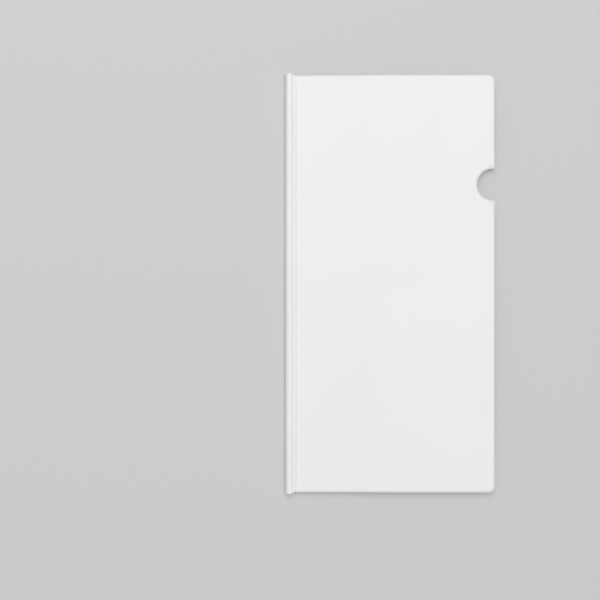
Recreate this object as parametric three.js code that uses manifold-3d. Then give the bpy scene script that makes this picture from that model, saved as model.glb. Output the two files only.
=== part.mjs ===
// Slide-bar document folder, lying flat and empty on its back leaf.
// One plastic sheet is folded once along its left side. The fold is caught inside an extruded bar
// of keyhole section, whose jaw grips both leaves and slides on and off along the fold.
// Millimetres. +X runs from the bar to the free edge, +Y up the folder's height, +Z off the surface.
import * as THREE from "three";
import * as BufferGeometryUtils from "three/addons/utils/BufferGeometryUtils.js";
import Module from "manifold-3d";

// Cover sheet
const coverHeight = 310; // along the fold, for A4 paper
const coverWidth = 154; // from the fold's outer face to the free edge
const filmGauge = 0.3;
const cornerRadius = 4.5; // the two free corners of each leaf
const thumbRadius = 11.8; // thumb cut in the free edge
const thumbInset = 1.3; // from the free edge in to the thumb cut's centre
const thumbDrop = 81.4; // from the top edge down to the thumb cut's centre
const thumbCorner = 0.5; // radius of the two corners where the thumb cut meets the free edge
const foldRadius = 0.9; // centre line of the springy loop that the fold keeps
const foldEase = 1.5; // centre line of the bends that bring the loop's two sides together
const leafGap = 0.3; // between the leaves where the jaw holds them
const leafOpening = 5.15; // between the leaves along the free edge
const flatStrip = 47; // along the free edge, where the leaves run level

// Sliding bar
const barLength = 312;
const barWall = 0.8;
const barRadius = 3.1; // outside of the round back
const lipBend = 1.2; // centre line of the bend from the round back into each lip
const lipFlare = THREE.MathUtils.degToRad(15); // each lip opens outwards by this much
const lipLength = 1.4; // straight part of each lip
const endRadius = 5.5; // each end rounds back from its crest to its lips

// Running clearances
const jawClearance = 0.3; // between the lips and the leaves
const foldClearance = 0.6; // between the fold and the bar's round back

// Facets
const loopSteps = 20;
const bendSteps = 8;
const capSteps = 6;
const drapeSteps = 20;
const cutSteps = 32;
const cornerSteps = 8;
const thumbCornerSteps = 4;

// Sections are drawn with their x from the bar's back and their y from the surface.
const jawHeight = barRadius;
const jawHalf = leafGap / 2 + filmGauge + jawClearance + barWall / 2;
const leafHalf = (leafGap + filmGauge) / 2;
const overallWidth = barWall + foldClearance + coverWidth;
const overallHeight = Math.max(2 * barRadius, 2 * filmGauge + leafOpening);

// Upper half of a keyhole section's centre line: from the loop's back over its crest, and through the
// bend that brings it down to the neck, past which the bend opens outwards by the flare angle.
function upperKeyhole(loopCentre, loopRadius, bendRadius, neckHalf, flare) {
  const bendHeight = neckHalf + bendRadius;
  const reach = Math.sqrt((loopRadius + bendRadius) ** 2 - bendHeight ** 2);
  const turn = Math.atan2(bendHeight, reach);
  const loop = arc(loopCentre, jawHeight, loopRadius, Math.PI, turn, loopSteps);
  const neck = arc(
    loopCentre + reach,
    jawHeight + bendHeight,
    bendRadius,
    Math.PI + turn,
    1.5 * Math.PI + flare,
    bendSteps,
  );
  return [...loop, ...neck.slice(1)];
}

// The whole line from its upper half, which the lower half mirrors at the jaw's height.
function bothHalves(upper) {
  const lower = upper.map((point) => new THREE.Vector2(point.x, 2 * jawHeight - point.y));
  return [...lower.reverse(), ...upper.slice(1)];
}

function arc(x, y, radius, from, to, steps) {
  const curve = new THREE.EllipseCurve(x, y, radius, radius, from, to, to < from);
  return curve.getPoints(steps);
}

// Unit direction of a line at one of its points.
function directionAt(line, index) {
  const before = line[Math.max(index - 1, 0)];
  const after = line[Math.min(index + 1, line.length - 1)];
  return after.clone().sub(before).normalize();
}

// Closed outline of a strip of even thickness along a centre line, with square or round ends.
function stripShape(line, thickness, roundEnds) {
  const half = thickness / 2;
  const side = (sign) =>
    line.map((point, index) => {
      const along = directionAt(line, index);
      return new THREE.Vector2(-along.y, along.x).multiplyScalar(sign * half).add(point);
    });
  const endCap = (index, sign) => {
    if (!roundEnds) return [];
    const along = directionAt(line, index).multiplyScalar(sign);
    const start = along.angle() + Math.PI / 2;
    return arc(line[index].x, line[index].y, half, start, start - Math.PI, capSteps).slice(1, -1);
  };
  const outline = [...side(1), ...endCap(line.length - 1, 1), ...side(-1).reverse(), ...endCap(0, -1)];
  return new THREE.Shape(outline);
}

// A section carried along Y, centred on the folder's height.
function alongHeight(shape, length) {
  const geometry = new THREE.ExtrudeGeometry(shape, { depth: length, bevelEnabled: false });
  return geometry.rotateX(Math.PI / 2).translate(0, length / 2, 0);
}

// A plan outline carried up through everything, to cut with.
function throughThickness(shape) {
  const geometry = new THREE.ExtrudeGeometry(shape, { depth: 3 * overallHeight, bevelEnabled: false });
  return geometry.translate(0, 0, -overallHeight);
}

const wasm = await Module();
wasm.setup();

function solidFrom(geometry) {
  const plain = geometry.clone().deleteAttribute("normal").deleteAttribute("uv");
  const merged = BufferGeometryUtils.mergeVertices(plain, 1e-5);
  const mesh = new wasm.Mesh({
    numProp: 3,
    vertProperties: merged.attributes.position.array,
    triVerts: new Uint32Array(merged.index.array),
  });
  return new wasm.Manifold(mesh);
}

function cutFrom(geometry, cutters) {
  const solid = cutters.reduce((left, cutter) => left.subtract(solidFrom(cutter)), solidFrom(geometry));
  const mesh = solid.getMesh();
  const result = new THREE.BufferGeometry();
  result.setAttribute("position", new THREE.BufferAttribute(mesh.vertProperties, 3));
  result.setIndex(new THREE.BufferAttribute(mesh.triVerts, 1));
  const faceted = result.toNonIndexed();
  faceted.computeVertexNormals();
  return faceted;
}

// What a corner of a plan outline loses to its radius. Its side faces +X, and its end either way in Y.
function cornerCutter(x, y, radius) {
  const outward = Math.sign(y) * radius;
  const turn = (Math.sign(y) * Math.PI) / 2;
  const round = arc(x - radius, y - outward, radius, 0, turn, cornerSteps);
  const outside = [
    new THREE.Vector2(x - radius, y + outward),
    new THREE.Vector2(x + radius, y + outward),
    new THREE.Vector2(x + radius, y - outward),
  ];
  return throughThickness(new THREE.Shape([...round, ...outside]));
}

// Sliding bar: each lip runs straight on from the keyhole at the flare angle.
function barLine() {
  const keyhole = upperKeyhole(barRadius, barRadius - barWall / 2, lipBend, jawHalf, lipFlare);
  const lip = new THREE.Vector2(Math.cos(lipFlare), Math.sin(lipFlare)).multiplyScalar(lipLength);
  return bothHalves([...keyhole, keyhole.at(-1).clone().add(lip)]);
}

const barMouth = barLine().at(-1).x + barWall / 2;

// Each end of the bar is whole up to its crest and rounds back to its lips, to start on a cover's corner.
function slideBar() {
  const roundedSide = barRadius + endRadius;
  return cutFrom(alongHeight(stripShape(barLine(), barWall, true), barLength), [
    cornerCutter(roundedSide, barLength / 2, endRadius),
    cornerCutter(roundedSide, -barLength / 2, endRadius),
  ]);
}

// Share of its fall that a limp leaf still holds at a distance past the jaw: the shape of a sheet
// that leaves the jaw level and touches down level at the start of the flat strip.
function dropLeft(distance, fall) {
  const s = Math.max(0, 1 - distance / fall);
  return 4 * s ** 3 - 3 * s ** 4;
}

// Centre line of one leaf from the jaw's mouth to the free edge, at the given level at its edge.
function leafLine(sign, edgeLevel) {
  const jawLevel = jawHeight + sign * leafHalf;
  const fall = overallWidth - flatStrip - barMouth;
  const points = [];
  for (let step = 0; step <= drapeSteps; step++) {
    const distance = (fall * step) / drapeSteps;
    const level = edgeLevel + (jawLevel - edgeLevel) * dropLeft(distance, fall);
    points.push(new THREE.Vector2(barMouth + distance, level));
  }
  points.push(new THREE.Vector2(overallWidth, edgeLevel));
  return points;
}

function coverLine() {
  const loopCentre = barWall + foldClearance + filmGauge / 2 + foldRadius;
  const fold = bothHalves(upperKeyhole(loopCentre, foldRadius, foldEase, leafHalf, 0));
  const backLeaf = leafLine(-1, filmGauge / 2);
  const frontLeaf = leafLine(1, 1.5 * filmGauge + leafOpening);
  return [...backLeaf.reverse(), ...fold, ...frontLeaf];
}

// Thumb cut: half a circle with short straight sides, which round off into the free edge.
function thumbCutter() {
  const centreX = overallWidth - thumbInset;
  const centreY = coverHeight / 2 - thumbDrop;
  const round = arc(centreX, centreY, thumbRadius, Math.PI / 2, 1.5 * Math.PI, cutSteps);
  const reach = thumbRadius + thumbCorner;
  const outerCorner = (side) => {
    const turn = (-side * Math.PI) / 2;
    const y = centreY + side * reach;
    return arc(overallWidth - thumbCorner, y, thumbCorner, 0, turn, thumbCornerSteps);
  };
  const past = overallWidth + thumbRadius;
  const outside = [new THREE.Vector2(past, centreY - reach), new THREE.Vector2(past, centreY + reach)];
  const outline = [...round, ...outerCorner(-1).reverse(), ...outside, ...outerCorner(1)];
  return throughThickness(new THREE.Shape(outline));
}

function cover() {
  return cutFrom(alongHeight(stripShape(coverLine(), filmGauge, false), coverHeight), [
    cornerCutter(overallWidth, coverHeight / 2, cornerRadius),
    cornerCutter(overallWidth, -coverHeight / 2, cornerRadius),
    thumbCutter(),
  ]);
}

function part(name, geometry, colour, roughness) {
  const material = new THREE.MeshStandardMaterial({ color: colour, roughness, metalness: 0 });
  const mesh = new THREE.Mesh(geometry, material);
  mesh.name = name;
  return mesh;
}

const folder = new THREE.Group();
folder.position.x = -overallWidth / 2;
folder.add(part("cover", cover(), "#f1f1f0", 0.55));
folder.add(part("slide_bar", slideBar(), "#e8eaee", 0.35));

export default folder;
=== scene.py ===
"""Looks of a slide-bar document folder that lies flat on its back leaf.

The cover is one sheet of frosted polypropylene, folded once, and the bar is an extruded plastic keyhole.
Metres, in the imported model's frame: +X from the bar to the free edge, +Y up the folder, +Z off the surface.
"""

import math

import bpy
import numpy as np
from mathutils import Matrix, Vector


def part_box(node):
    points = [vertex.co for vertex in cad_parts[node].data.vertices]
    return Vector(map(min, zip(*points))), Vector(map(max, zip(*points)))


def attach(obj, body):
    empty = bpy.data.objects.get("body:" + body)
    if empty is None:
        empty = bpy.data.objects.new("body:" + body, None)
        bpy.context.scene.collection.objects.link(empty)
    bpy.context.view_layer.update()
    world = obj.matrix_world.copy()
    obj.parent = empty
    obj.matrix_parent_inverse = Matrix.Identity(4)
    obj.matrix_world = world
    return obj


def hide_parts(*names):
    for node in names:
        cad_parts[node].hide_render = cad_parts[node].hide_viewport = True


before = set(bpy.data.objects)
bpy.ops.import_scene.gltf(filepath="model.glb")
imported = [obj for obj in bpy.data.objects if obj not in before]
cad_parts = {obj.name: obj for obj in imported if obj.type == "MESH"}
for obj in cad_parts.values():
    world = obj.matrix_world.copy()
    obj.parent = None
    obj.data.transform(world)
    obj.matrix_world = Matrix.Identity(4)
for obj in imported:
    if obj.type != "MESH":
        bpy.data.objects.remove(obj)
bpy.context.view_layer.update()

MM = 0.001

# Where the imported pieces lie.
cover_low, cover_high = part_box("cover")
bar_low, bar_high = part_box("slide_bar")
BACK = bar_low.x
FREE_EDGE = cover_high.x
HALF_HEIGHT = cover_high.y
HALF_BAR = bar_high.y
BAR_RADIUS = (bar_high.z - bar_low.z) / 2
JAW_LEVEL = (bar_high.z + bar_low.z) / 2
MOUTH = bar_high.x

# Cover sheet, as the solids have it.
FILM = 0.3 * MM
CORNER_RADIUS = 4.5 * MM
THUMB_RADIUS = 11.8 * MM
THUMB_INSET = 1.3 * MM
THUMB_DROP = 81.4 * MM
THUMB_CENTRE = Vector((FREE_EDGE - THUMB_INSET, HALF_HEIGHT - THUMB_DROP))
THUMB_CORNER = 0.5 * MM
FOLD_RADIUS = 0.9 * MM
FOLD_EASE = 1.5 * MM
LEAF_GAP = 0.3 * MM
LEAF_OPENING = 5.15 * MM
FLAT_STRIP = 47 * MM
FOLD_CLEARANCE = 0.6 * MM

# What the real sheet has and the solids leave out.
EDGE_ROLL = 0.3 * MM  # the die bends the sheet's rim inwards by this much
EDGE_ROLL_WIDTH = 2.3 * MM
EDGE_ROLL_START = 40 * MM  # the jaw holds the rims flat, and they are bent in full this far past it
RIM_LEAN = FILM / 2 * math.sin(math.atan(2 * EDGE_ROLL / EDGE_ROLL_WIDTH))  # a bent rim reaches out by this
RIPPLE = 0.12 * MM  # slow waves that a thin sheet keeps from its roll
RIPPLE_START = 60 * MM  # they have grown to their height this far past the jaw
BACK_PHASE = 0.4  # radians. The two leaves wave unalike
FRONT_PHASE = 2.3
PAINTED_SHADE_WIDTH = 0.7 * MM  # painted shade: along each cut the film is painted greyer, over this width and a fade as wide again

# Sliding bar, as the solids have it.
WALL = 0.8 * MM
LIP_BEND = 1.2 * MM
LIP_FLARE = math.radians(15)
LIP_LENGTH = 1.4 * MM
JAW_CLEARANCE = 0.3 * MM
END_RADIUS = 5.5 * MM
END_ROUND = 0.15 * MM  # the saw's burr is rubbed off the bar's end edges

# Facets: the steps of curves and of the runs between them, and where finer columns and rings lie.
CORNER_STEPS = 16
THUMB_STEPS = 56
THUMB_CORNER_STEPS = 5
FOOT_RUN_STEPS = 52  # of the free edge, below the thumb cut
HEAD_RUN_STEPS = 22  # of the free edge, above it
FOLD_LOOP_STEPS = 14
FOLD_BEND_STEPS = 7
LEAF_COLUMNS = 34  # from the jaw's mouth to the finer columns
FINE_STRIP = 20 * MM  # the strip along the free edge that has them
FINE_COLUMNS = np.array([13, 8, 5, 3.4, 2.6, 2.2, 1.8, 1.4, 1.05, 0.7, 0.45, 0.2, 0]) * MM  # from the edge
BAR_LOOP_STEPS = 30
BAR_BEND_STEPS = 12
LIP_STEPS = 3
LIP_END_STEPS = 8
MIDDLE_RINGS = 12
MIDDLE_SHARE = 0.85  # of the bar's length, which they span
NEAR_END_RINGS = np.array([12, 3, 0.8, 0.2]) * MM  # from the bar's end
END_STEPS = 4

# Camera.
PHOTO_SIDE = 600  # pixels, both ways
PHOTO_SCALE = 1.348  # pixels to a millimetre at the front leaf
FOLDER_CENTRE_IN_PHOTO = Vector((390.0, 283.7))  # pixels from the left and the top
SENSOR = 36.0
LENS = 81.0


def arc(x, y, radius, start, end, steps):
    """Points of a circle's arc: the centre plus the radius along angles in even steps from start to end."""
    angle = np.linspace(start, end, steps + 1)
    return np.stack([x + radius * np.cos(angle), y + radius * np.sin(angle)], axis=1)


def upper_keyhole(centre, radius, bend, neck_half, flare, loop_steps, bend_steps):
    """Upper half of a keyhole section's centre line, as points (x, z).

    A loop's arc runs from its back over its crest to where a smaller, opposite arc touches it, and that
    arc runs on down to the neck, where it is level, and on by the flare angle. The two circles touch, so
    the line between their centres is as long as both radii together."""
    bend_height = neck_half + bend
    reach = math.sqrt((radius + bend) ** 2 - bend_height**2)
    turn = math.atan2(bend_height, reach)
    loop = arc(centre, JAW_LEVEL, radius, math.pi, turn, loop_steps)
    neck = arc(
        centre + reach, JAW_LEVEL + bend_height, bend, math.pi + turn, 1.5 * math.pi + flare, bend_steps
    )
    return np.concatenate([loop, neck[1:]])


def both_halves(upper):
    """The whole centre line: the upper half mirrored at the jaw's level, reversed, then the upper half."""
    lower = upper[::-1] * [1, -1] + [0, 2 * JAW_LEVEL]
    return np.concatenate([lower, upper[1:]])


def normals_along(line):
    """Unit normals to the left of a line: its central differences turned by a quarter."""
    along = np.gradient(line, axis=0)
    along /= np.linalg.norm(along, axis=1, keepdims=True)
    return np.stack([-along[:, 1], along[:, 0]], axis=1)


def grid_faces(rows, columns, wrap=False):
    """Four-sided faces of a grid of points numbered row by row, with the last column joined to the first
    where it wraps."""
    row, column = np.meshgrid(np.arange(rows - 1), np.arange(columns - (not wrap)), indexing="ij")
    after = (column + 1) % columns
    corners = [row * columns + column, row * columns + after, (row + 1) * columns + after]
    corners.append((row + 1) * columns + column)
    return np.stack(corners, axis=-1).reshape(-1, 4)


def make_piece(name, points, faces, material):
    """A smooth-shaded object at the origin with the given points and faces."""
    mesh = bpy.data.meshes.new(name)
    mesh.from_pydata(points.reshape(-1, 3).tolist(), [], faces)
    mesh.polygons.foreach_set("use_smooth", np.ones(len(mesh.polygons), dtype=bool))
    mesh.materials.append(material)
    mesh.validate()
    piece = bpy.data.objects.new(name, mesh)
    bpy.context.scene.collection.objects.link(piece)
    return piece


# Cover sheet.


def free_outline():
    """Plan of the free edge from its bottom corner to its top corner: an arc for each corner, straight
    runs, and the thumb cut, which is half a circle with short straight sides and rounded outer corners."""
    edge = FREE_EDGE - RIM_LEAN
    corner_x = edge - CORNER_RADIUS
    corner_y = HALF_HEIGHT - RIM_LEAN - CORNER_RADIUS
    cut_x, cut_y = THUMB_CENTRE
    cut_corner_x = edge - THUMB_CORNER
    low_corner_y = cut_y - THUMB_RADIUS - THUMB_CORNER
    high_corner_y = cut_y + THUMB_RADIUS + THUMB_CORNER
    quarter = math.pi / 2

    def straight(start, end, steps):
        return np.stack([np.full(steps - 1, edge), np.linspace(start, end, steps + 1)[1:-1]], axis=1)

    return np.concatenate(
        [
            arc(corner_x, -corner_y, CORNER_RADIUS, -quarter, 0, CORNER_STEPS),
            straight(-corner_y, low_corner_y, FOOT_RUN_STEPS),
            arc(cut_corner_x, low_corner_y, THUMB_CORNER, 0, quarter, THUMB_CORNER_STEPS),
            arc(cut_x, cut_y, THUMB_RADIUS, 3 * quarter, quarter, THUMB_STEPS),
            arc(cut_corner_x, high_corner_y, THUMB_CORNER, -quarter, 0, THUMB_CORNER_STEPS),
            straight(high_corner_y, corner_y, HEAD_RUN_STEPS),
            arc(corner_x, corner_y, CORNER_RADIUS, 0, quarter, CORNER_STEPS),
        ]
    )


def inset(x, y):
    """How far a point of a leaf lies in from its rim: the least distance to the top, bottom and free
    edges, to the corners' arcs, and to the thumb cut."""
    past_x = x - (FREE_EDGE - CORNER_RADIUS)
    past_y = np.abs(y) - (HALF_HEIGHT - CORNER_RADIUS)
    to_sides = CORNER_RADIUS - np.maximum(past_x, past_y)
    to_corner = CORNER_RADIUS - np.hypot(past_x, past_y)
    from_rim = np.where((past_x > 0) & (past_y > 0), to_corner, to_sides)
    beyond = np.minimum(x - THUMB_CENTRE.x, 0)
    from_cut = np.hypot(beyond, y - THUMB_CENTRE.y) - THUMB_RADIUS
    return np.clip(np.minimum(from_rim, from_cut), 0, None)


def painted_shade_share(x, y):
    """How much of the painted rim shade a point of the sheet takes: all of it up to the shade's width, none
    past twice that, and evenly less between."""
    return np.clip(2 - inset(x, y) / PAINTED_SHADE_WIDTH, 0, 1)


def drop_left(distance, fall):
    """Share of its fall that a limp leaf still holds at a distance past the jaw: 4s³ − 3s⁴, where s runs
    from 1 at the jaw to 0 where the leaf has come level. It is the bend of a sheet under its own weight."""
    s = np.clip(1 - distance / fall, 0, None)
    return 4 * s**3 - 3 * s**4


def ripple(x, y, phase):
    """Slow waves between 0 and 1: the weighted mean of three sines of long and unlike wavelengths, plus one
    and halved, fading in past the jaw."""
    weights = (1.0, 0.7, 0.5)
    waves = (
        np.sin(y / (31 * MM) + x / (57 * MM) + phase),
        np.sin(y / (17 * MM) - x / (41 * MM) + 2.1 * phase),
        np.sin(x / (13 * MM) + y / (71 * MM) + 0.6 * phase),
    )
    mean = sum(weight * wave for weight, wave in zip(weights, waves)) / sum(weights)
    fade = np.clip((x - MOUTH) / RIPPLE_START, 0, 1)
    return fade * (mean + 1) / 2


def leaf_surface(outline, outward, edge_level, phase):
    """Middle surface of one leaf as rows (along the fold) by columns (from the jaw to the free edge).

    In plan each row is a straight line from the jaw's mouth to a point of the free edge's outline, and
    the rows share out the fold's height as the outline's length does. The height above the surface is
    the leaf's fall, plus the ripple, less the roll, which grows as the square towards the rim, and which
    comes in evenly over the first strip past the jaw."""
    steps = np.linalg.norm(np.diff(outline, axis=0), axis=1)
    share = np.concatenate([[0], np.cumsum(steps)]) / steps.sum()
    jaw_y = (2 * share - 1) * outline[-1, 1]
    reach = FREE_EDGE - MOUTH
    column = np.concatenate([np.linspace(0, 1 - FINE_STRIP / reach, LEAF_COLUMNS), 1 - FINE_COLUMNS / reach])
    x = MOUTH + np.outer(outline[:, 0] - MOUTH, column)
    y = np.outer(jaw_y, 1 - column) + np.outer(outline[:, 1], column)
    jaw_level = JAW_LEVEL + outward * (LEAF_GAP + FILM) / 2
    z = edge_level + (jaw_level - edge_level) * drop_left(x - MOUTH, reach - FLAT_STRIP)
    z += RIPPLE * ripple(x, y, phase)
    roll = np.clip(1 - inset(x, y) / EDGE_ROLL_WIDTH, 0, 1) ** 2
    z -= outward * EDGE_ROLL * roll * np.clip((x - MOUTH) / EDGE_ROLL_START, 0, 1)
    return np.stack([x, y, z], axis=-1)


def sharpen_rim(mesh):
    """Marks the sheet's cut rim sharp, as a die leaves it square: the edges that belong to one face only."""
    edge_of_corner = np.empty(len(mesh.loops), dtype=np.int32)
    mesh.loops.foreach_get("edge_index", edge_of_corner)
    faces_at_edge = np.bincount(edge_of_corner, minlength=len(mesh.edges))
    mesh.edges.foreach_set("use_edge_sharp", faces_at_edge == 1)


def cover_sheet(material):
    """The whole cover: the back leaf, the fold's keyhole carried along the fold, and the front leaf, as
    one grid that a Solidify modifier gives the film's gauge."""
    outline = free_outline()
    back = leaf_surface(outline, -1, FILM / 2, BACK_PHASE)
    front = leaf_surface(outline, 1, FILM + LEAF_OPENING + FILM / 2, FRONT_PHASE)
    loop_centre = BACK + WALL + FOLD_CLEARANCE + FILM / 2 + FOLD_RADIUS
    leaf_half = (LEAF_GAP + FILM) / 2
    upper_fold = upper_keyhole(
        loop_centre, FOLD_RADIUS, FOLD_EASE, leaf_half, 0, FOLD_LOOP_STEPS, FOLD_BEND_STEPS
    )
    fold = both_halves(upper_fold)
    rows = len(outline)
    folded = np.empty((rows, len(fold), 3))
    folded[:, :, 0] = fold[:, 0]
    folded[:, :, 1] = front[:, :1, 1]
    folded[:, :, 2] = fold[:, 1]
    points = np.concatenate([back[:, ::-1], folded, front], axis=1)
    piece = make_piece("folded_cover", points, grid_faces(rows, points.shape[1]).tolist(), material)
    # Painted shade: how much of the greyer rim colour each point takes, stored for the material.
    painted_shade_attribute = piece.data.attributes.new("painted_rim_shade", "FLOAT", "POINT")
    painted_shade_attribute.data.foreach_set("value", painted_shade_share(points[:, :, 0], points[:, :, 1]).ravel())
    sharpen_rim(piece.data)
    wall = piece.modifiers.new("film_gauge", "SOLIDIFY")
    wall.thickness = FILM
    wall.offset = 0
    wall.use_even_offset = True
    return piece


# Sliding bar.


def strip_ring(line, half):
    """Closed ring round a strip: the line moved out by half the thickness, a half circle round its end,
    the line moved in, and a half circle round its start."""
    normal = normals_along(line)

    def cap(index, outward):
        direction = outward * np.array([normal[index, 1], -normal[index, 0]])
        start = math.atan2(direction[1], direction[0]) + math.pi / 2
        return arc(*line[index], half, start, start - math.pi, LIP_END_STEPS)[1:-1]

    outer, inner = line + half * normal, line - half * normal
    return np.concatenate([outer, cap(-1, 1), inner[::-1], cap(0, -1)])


def bar_line():
    """Centre line of the bar's section: a keyhole whose two lips run straight on at the flare angle."""
    centre = BACK + BAR_RADIUS
    radius = BAR_RADIUS - WALL / 2
    jaw_half = LEAF_GAP / 2 + FILM + JAW_CLEARANCE + WALL / 2
    keyhole = upper_keyhole(centre, radius, LIP_BEND, jaw_half, LIP_FLARE, BAR_LOOP_STEPS, BAR_BEND_STEPS)
    tip = keyhole[-1] + LIP_LENGTH * np.array([math.cos(LIP_FLARE), math.sin(LIP_FLARE)])
    lip = np.linspace(keyhole[-1], tip, LIP_STEPS + 1)[1:]
    return both_halves(np.concatenate([keyhole, lip]))


def bar_end(x):
    """Half the bar's length at a place across it: whole up to the crest, and from there on a circle's arc,
    whose height is the root of the radius's square less the square of the distance past the crest."""
    past_crest = np.clip(x - (BACK + BAR_RADIUS), 0, END_RADIUS)
    return HALF_BAR - END_RADIUS + np.sqrt(END_RADIUS**2 - past_crest**2)


def sliding_bar(material):
    """The bar: rings of its section carried from one end to the other. Next to each end the rings go
    through a quarter circle, thinner by the rounding's radius times one less the cosine of the turn, and
    further out by the radius times its sine. A band of faces closes the cut face."""
    line = bar_line()

    def ring(share, thinner=0.0, further=0.0):
        outline = strip_ring(line, WALL / 2 - thinner)
        along = share * (bar_end(outline[:, 0]) - END_ROUND + further)
        return np.stack([outline[:, 0], along, outline[:, 1]], axis=1)

    turn = np.linspace(0, math.pi / 2, END_STEPS + 1)
    rounding = list(zip(END_ROUND * (1 - np.cos(turn)), END_ROUND * np.sin(turn)))
    near_end = 1 - NEAR_END_RINGS / HALF_BAR
    middle = np.linspace(-MIDDLE_SHARE, MIDDLE_SHARE, MIDDLE_RINGS)
    shares = np.concatenate([-near_end[::-1], middle, near_end])
    rings = [ring(-1, thinner, further) for thinner, further in rounding[::-1]]
    rings += [ring(share) for share in shares]
    rings += [ring(1, thinner, further) for thinner, further in rounding]
    points = np.array(rings)
    rows, columns = points.shape[:2]
    count = len(line)
    inner_start = (columns - 2 * count) // 2 + count
    outer = np.arange(count)
    inner = inner_start + count - 1 - outer
    band = np.stack([outer[:-1], inner[:-1], inner[1:], outer[1:]], axis=1)
    end_tip = list(range(count - 1, inner_start + 1))
    start_tip = [*range(inner_start + count - 1, columns), 0]
    last = (rows - 1) * columns
    faces = grid_faces(rows, columns, wrap=True).tolist()
    faces += band.tolist() + [end_tip[::-1], start_tip[::-1]]
    faces += (band[:, ::-1] + last).tolist() + [[last + i for i in tip] for tip in (end_tip, start_tip)]
    return make_piece("extruded_bar", points, faces, material)


# Materials.


def linear(hex_colour):
    """A linear RGBA colour from an sRGB hex value."""
    channels = np.array([int(hex_colour[i : i + 2], 16) for i in (1, 3, 5)]) / 255
    low, high = channels / 12.92, ((channels + 0.055) / 1.055) ** 2.4
    return (*np.where(channels <= 0.04045, low, high).tolist(), 1.0)


def add(tree, kind, inputs, **settings):
    """Adds a node with its settings. An input is given a value, or is linked where a socket is given."""
    node = tree.nodes.new(kind)
    for name, value in settings.items():
        setattr(node, name, value)
    for name, value in inputs.items():
        if isinstance(value, bpy.types.NodeSocket):
            tree.links.new(value, node.inputs[name])
        else:
            node.inputs[name].default_value = value
    return node


def new_material(name):
    """An empty material with its tree and its output node."""
    material = bpy.data.materials.new(name)
    material.use_nodes = True
    material.node_tree.nodes.clear()
    return material, material.node_tree


def per_millimetre(size):
    """Texture scale, in cycles to a metre, for a pattern whose grains are this many millimetres across."""
    return 1 / (size * MM)


def frosted_polypropylene():
    """Calendered frosted polypropylene sheet: pressed between a polished and a sand-blasted roll, so the
    white is even and milky, and light spreads on it in a soft, wide sheen with a very fine grain."""
    material, tree = new_material("calendered frosted polypropylene")
    place = add(tree, "ShaderNodeTexCoord", {}).outputs["Object"]
    # The sheet's thickness wanders slowly, and with it how white it looks.
    cloud = add(tree, "ShaderNodeTexNoise", {"Vector": place, "Scale": per_millimetre(45), "Detail": 3.0})
    tone = add(
        tree,
        "ShaderNodeMix",
        {"Factor": cloud.outputs["Fac"], "A": linear("#f1f1f0"), "B": linear("#f5f5f4")},
        data_type="RGBA",
    )
    # Painted shade: the sheet is painted greyer beside each cut, for light that spreads inside the milky
    # sheet and leaks out there.
    painted_rim_shade = add(tree, "ShaderNodeAttribute", {}, attribute_name="painted_rim_shade")
    tone_with_painted_shade = add(
        tree,
        "ShaderNodeMix",
        {"Factor": painted_rim_shade.outputs["Fac"], "A": tone.outputs[2], "B": linear("#e3e3e2")},
        data_type="RGBA",
    )
    # The real grain is about 0.1 mm, too fine to show, so it is drawn at 0.5 mm.
    grain = add(tree, "ShaderNodeTexNoise", {"Vector": place, "Scale": per_millimetre(0.5), "Detail": 2.0})
    gloss = add(
        tree,
        "ShaderNodeMapRange",
        {"Value": grain.outputs["Fac"], "From Min": 0.3, "From Max": 0.7, "To Min": 0.42, "To Max": 0.54},
    )
    bump = add(
        tree,
        "ShaderNodeBump",
        {"Height": grain.outputs["Fac"], "Strength": 0.12, "Distance": 0.03 * MM},
    )
    shader = add(
        tree,
        "ShaderNodeBsdfPrincipled",
        {
            "Base Color": tone_with_painted_shade.outputs[2],
            "Roughness": gloss.outputs[0],
            "IOR": 1.49,
            "Normal": bump.outputs[0],
        },
    )
    add(tree, "ShaderNodeOutputMaterial", {"Surface": shader.outputs[0]})
    return material


def extruded_plastic():
    """Rigid plastic pushed through a die: cool white, smooth enough for a clear line of light along the
    crest, and drawn over with faint lines that run the length of the bar."""
    material, tree = new_material("extruded rigid plastic")
    place = add(tree, "ShaderNodeTexCoord", {}).outputs["Object"]
    # Die lines are 0.3 mm apart across the bar and stay the same for many centimetres along it.
    across, along = per_millimetre(0.3), per_millimetre(90)
    drawn = add(tree, "ShaderNodeMapping", {"Vector": place, "Scale": (across, along, across)})
    lines = add(tree, "ShaderNodeTexNoise", {"Vector": drawn.outputs[0], "Scale": 1.0, "Detail": 2.0})
    tone = add(
        tree,
        "ShaderNodeMix",
        {"Factor": lines.outputs["Fac"], "A": linear("#eeeef1"), "B": linear("#f6f7f9")},
        data_type="RGBA",
    )
    gloss = add(
        tree,
        "ShaderNodeMapRange",
        {"Value": lines.outputs["Fac"], "From Min": 0.3, "From Max": 0.7, "To Min": 0.28, "To Max": 0.38},
    )
    bump = add(
        tree,
        "ShaderNodeBump",
        {"Height": lines.outputs["Fac"], "Strength": 0.1, "Distance": 0.02 * MM},
    )
    shader = add(
        tree,
        "ShaderNodeBsdfPrincipled",
        {
            "Base Color": tone.outputs[2],
            "Roughness": gloss.outputs[0],
            "IOR": 1.5,
            "Normal": bump.outputs[0],
        },
    )
    add(tree, "ShaderNodeOutputMaterial", {"Surface": shader.outputs[0]})
    return material


def matt_table():
    """Pale painted table: no gloss, so only the folder's soft shadow shows on it."""
    material, tree = new_material("pale matt paint")
    shader = add(
        tree, "ShaderNodeBsdfPrincipled", {"Base Color": linear("#d5d5d6"), "Roughness": 0.9}
    )
    add(tree, "ShaderNodeOutputMaterial", {"Surface": shader.outputs[0]})
    return material


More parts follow.
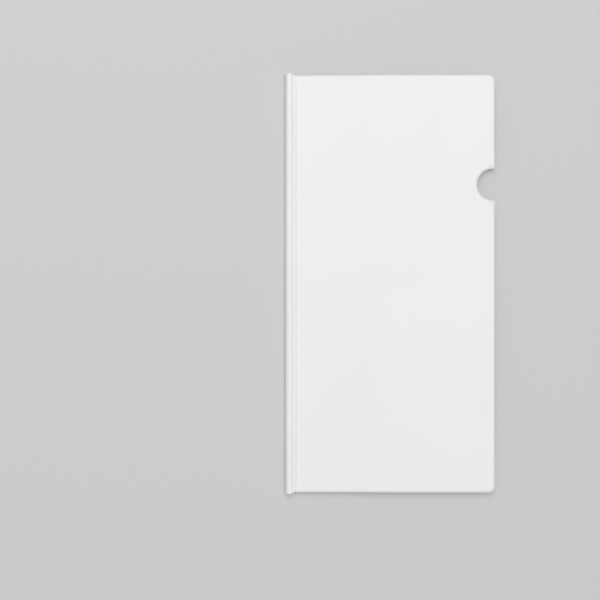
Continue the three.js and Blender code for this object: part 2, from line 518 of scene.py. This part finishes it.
# Stage.


def table_top():
    """A flat square at the level that the folder lies on, wide enough to reach the horizon."""
    half = 60.0
    corners = np.array([[-half, -half, 0], [half, -half, 0], [half, half, 0], [-half, half, 0]])
    top = make_piece("table_top", corners, [[0, 1, 2, 3]], matt_table())


def facing_light(name, kind, place):
    """A light of a kind, at a place, that faces the folder."""
    lamp = bpy.data.lights.new(name, kind)
    light = bpy.data.objects.new(name, lamp)
    light.location = place
    light.rotation_euler = (-Vector(place)).to_track_quat("-Z", "Y").to_euler()
    bpy.context.scene.collection.objects.link(light)
    return lamp


def studio():
    """Pale surroundings, a very wide soft light high overhead, which lights the whole table evenly, and a
    square soft box past the folder's head, to its left."""
    world = bpy.data.worlds.new("studio")
    world.use_nodes = True
    background = world.node_tree.nodes["Background"]
    background.inputs["Color"].default_value = linear("#f8f8f9")
    background.inputs["Strength"].default_value = 0.365
    bpy.context.scene.world = world
    overhead = facing_light("overhead_light", "SUN", (0.16, 0.1, 1.0))
    overhead.angle = math.radians(45)
    overhead.energy = 1.39
    head_box = facing_light("head_box", "AREA", (-0.25, 0.9, 1.3))
    head_box.size = 0.7
    head_box.energy = 4.4
    bpy.context.scene.view_settings.view_transform = "Standard"


def camera():
    """Looks straight down. The folder's centre falls where the photograph has it, at the same scale."""
    metres_across = PHOTO_SIDE / PHOTO_SCALE * MM
    front_level = cover_high.z
    offset = (FOLDER_CENTRE_IN_PHOTO - Vector((PHOTO_SIDE / 2, PHOTO_SIDE / 2))) / PHOTO_SCALE * MM
    data = bpy.data.cameras.new("camera")
    data.lens = LENS
    data.sensor_width = SENSOR
    eye = bpy.data.objects.new("camera", data)
    eye.location = (-offset.x, offset.y, front_level + metres_across * LENS / SENSOR)
    bpy.context.scene.collection.objects.link(eye)
    bpy.context.scene.camera = eye


camera()
cover = cover_sheet(frosted_polypropylene())
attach(cover, "cover")
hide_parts("cover")

bar = sliding_bar(extruded_plastic())
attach(bar, "slide_bar")
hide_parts("slide_bar")

table_top()
studio()
